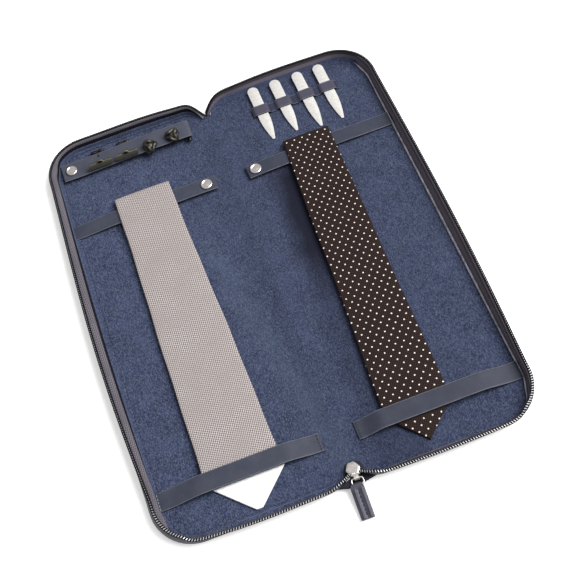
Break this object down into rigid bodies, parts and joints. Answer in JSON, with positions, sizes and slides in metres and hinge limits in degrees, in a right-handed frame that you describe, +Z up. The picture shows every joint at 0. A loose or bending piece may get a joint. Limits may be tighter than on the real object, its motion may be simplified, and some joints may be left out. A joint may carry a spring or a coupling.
{
  "type": "travel jewelry box",
  "caption": "Soft zip-around travel case lying open, with suede trays, snap straps, loops and slits for ties, collar stays and cufflinks.",
  "frame": {"origin": "middle of the spine's underside, on the surface that the open case lies on", "axes": "+Z up, +Y along the spine from the zip slider to the head, +X across to the tray with the collar stays"},
  "size_m": [0.3242, 0.4387, 0.0182],
  "materials": {
    "leather": "fine grained slate blue leather",
    "suede": "navy suede cloth",
    "zip_tape": "woven tape",
    "zip_metal": "gunmetal",
    "bright_metal": "polished nickel",
    "dark_metal": "blackened satin",
    "stay_metal": "satin",
    "grey_silk": "woven silk",
    "white_satin": "satin lining",
    "brown_silk": "woven silk with pin dots"
  },
  "bodies": {
    "spine": {"spine_cover": "leather", "spine_lining": "suede", "right_head_gusset": "leather", "left_head_gusset": "leather", "right_foot_gusset": "leather", "left_foot_gusset": "leather", "zip_end_tab": "zip_tape"},
    "right_half": {"right_outer_panel": "leather", "right_wall": "leather", "right_lining": "suede", "right_zip_tape": "zip_tape", "right_zip_chain": "zip_metal", "right_foot_strap": "leather", "stay_loop_strip": "leather", "right_tie_snap_stud": "bright_metal", "pin_dot_tie": "brown_silk"},
    "left_half": {"left_outer_panel": "leather", "left_wall": "leather", "left_lining": "suede", "left_zip_tape": "zip_tape", "left_zip_chain": "zip_metal", "left_foot_strap": "leather", "left_tie_snap_stud": "bright_metal", "cufflink_snap_stud": "bright_metal", "grey_tie": "grey_silk", "grey_tie_white_point": "white_satin"},
    "slider": {"slider_body": "zip_metal", "slider_cap": "bright_metal"},
    "puller": {"puller_ring": "bright_metal", "puller_tab": "leather"},
    "left_tie_strap": {"left_tie_strap": "leather", "left_tie_snap_socket": "bright_metal", "left_tie_snap_cap": "bright_metal"},
    "right_tie_strap": {"right_tie_strap": "leather", "right_tie_snap_socket": "bright_metal", "right_tie_snap_cap": "bright_metal"},
    "cufflink_strap": {"cufflink_strap": "leather", "cufflink_snap_socket": "bright_metal", "cufflink_snap_cap": "bright_metal", "bar_cufflink_1": "dark_metal", "bar_cufflink_2": "dark_metal", "knot_cufflink_1": "dark_metal", "knot_cufflink_2": "dark_metal"},
    "bar_cufflink_1_toggle": {"bar_cufflink_1_toggle": "dark_metal"},
    "bar_cufflink_2_toggle": {"bar_cufflink_2_toggle": "dark_metal"},
    "knot_cufflink_1_toggle": {"knot_cufflink_1_toggle": "dark_metal"},
    "knot_cufflink_2_toggle": {"knot_cufflink_2_toggle": "dark_metal"},
    "collar_stay_1": {"collar_stay_1": "stay_metal"},
    "collar_stay_2": {"collar_stay_2": "stay_metal"},
    "collar_stay_3": {"collar_stay_3": "stay_metal"},
    "collar_stay_4": {"collar_stay_4": "stay_metal"}
  },
  "joints": [
    {"name": "right_fold", "type": "hinge", "parent": "spine", "child": "right_half", "pos_m": [0.01215, 0, 0.003], "axis": [0, 1, 0], "range_deg": [-90, 0], "deforming": ["right_head_gusset", "right_foot_gusset"]},
    {"name": "left_fold", "type": "hinge", "parent": "spine", "child": "left_half", "pos_m": [-0.01215, 0, 0.003], "axis": [0, -1, 0], "range_deg": [-90, 0], "deforming": ["left_head_gusset", "left_foot_gusset"]},
    {"name": "slider_run", "type": "slide", "parent": "spine", "child": "slider", "axis": [0, 1, 0], "range_m": [0, 0.006]},
    {"name": "puller_swing", "type": "hinge", "parent": "slider", "child": "puller", "pos_m": [0, -0.2004, 0.00745], "axis": [-1, 0, 0], "range_deg": [0, 120]},
    {"name": "left_tie_strap_lift", "type": "hinge", "parent": "left_half", "child": "left_tie_strap", "pos_m": [-0.1553, 0.1102, 0.0033], "axis": [0, -1, 0], "range_deg": [0, 40], "deforming": ["grey_tie"]},
    {"name": "right_tie_strap_lift", "type": "hinge", "parent": "right_half", "child": "right_tie_strap", "pos_m": [0.154, 0.1135, 0.0033], "axis": [0, 1, 0], "range_deg": [0, 40], "deforming": ["pin_dot_tie"]},
    {"name": "cufflink_strap_lift", "type": "hinge", "parent": "left_half", "child": "cufflink_strap", "pos_m": [-0.0205, 0.1771, 0.00675], "axis": [0, 1, 0], "range_deg": [0, 75]},
    {"name": "bar_cufflink_1_toggle_turn", "type": "hinge", "parent": "cufflink_strap", "child": "bar_cufflink_1_toggle", "pos_m": [-0.1095, 0.1906, 0.00516], "axis": [0, 0, -1], "range_deg": [0, 90]},
    {"name": "bar_cufflink_2_toggle_turn", "type": "hinge", "parent": "cufflink_strap", "child": "bar_cufflink_2_toggle", "pos_m": [-0.0845, 0.1906, 0.00516], "axis": [0, 0, -1], "range_deg": [0, 90]},
    {"name": "knot_cufflink_1_toggle_turn", "type": "hinge", "parent": "cufflink_strap", "child": "knot_cufflink_1_toggle", "pos_m": [-0.0615, 0.18901, 0.00516], "axis": [0, 0, -1], "range_deg": [0, 90]},
    {"name": "knot_cufflink_2_toggle_turn", "type": "hinge", "parent": "cufflink_strap", "child": "knot_cufflink_2_toggle", "pos_m": [-0.02391, 0.1703, 0.00682], "axis": [0, 0, -1], "range_deg": [0, 90]},
    {"name": "collar_stay_1_slide", "type": "slide", "parent": "right_half", "child": "collar_stay_1", "axis": [0, -1, 0], "range_m": [0, 0.004]},
    {"name": "collar_stay_2_slide", "type": "slide", "parent": "right_half", "child": "collar_stay_2", "axis": [0, -1, 0], "range_m": [0, 0.004]},
    {"name": "collar_stay_3_slide", "type": "slide", "parent": "right_half", "child": "collar_stay_3", "axis": [0, -1, 0], "range_m": [0, 0.004]},
    {"name": "collar_stay_4_slide", "type": "slide", "parent": "right_half", "child": "collar_stay_4", "axis": [0, -1, 0], "range_m": [0, 0.004]}
  ],
  "couplings": [
    {"joint": "left_fold", "follows": "right_fold", "ratio": 1}
  ]
}
